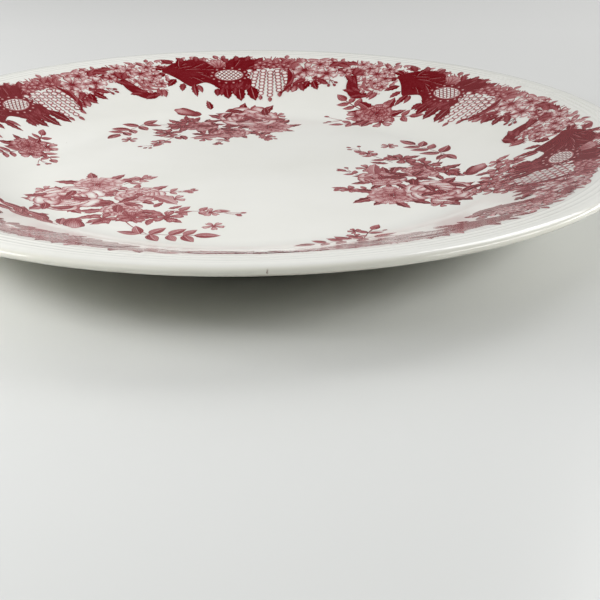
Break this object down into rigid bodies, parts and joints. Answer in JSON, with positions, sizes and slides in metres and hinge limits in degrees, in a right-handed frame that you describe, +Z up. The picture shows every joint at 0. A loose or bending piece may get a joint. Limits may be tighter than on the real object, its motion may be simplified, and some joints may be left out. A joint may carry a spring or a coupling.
{
  "type": "serving platter",
  "caption": "Round glazed china serving platter with a shallow well, sloping rim, moulded outer band, foot ring and printed crimson flowers.",
  "frame": {"origin": "centre of the circle that the foot ring stands on", "axes": "+Z up along the platter's axis; -Y faces the camera, +X is to its right"},
  "size_m": [0.31, 0.31, 0.028],
  "materials": {
    "biscuit": "fired unglazed clay, matt",
    "bare_foot": "glazed sides, bare matt standing edge",
    "clear_glaze": "glossy off-white glaze",
    "crimson_print": "crimson printed colour under gloss"
  },
  "bodies": {
    "root": {"biscuit_body": "biscuit", "foot_ring": "bare_foot", "glaze_coat": "clear_glaze", "glaze_base": "clear_glaze", "border_print": "crimson_print", "bouquet_print_left": "crimson_print", "bouquet_print_right": "crimson_print", "bouquet_print_back": "crimson_print", "spray_print_front": "crimson_print", "spray_print_back": "crimson_print", "spray_print_left": "crimson_print"}
  },
  "joints": []
}
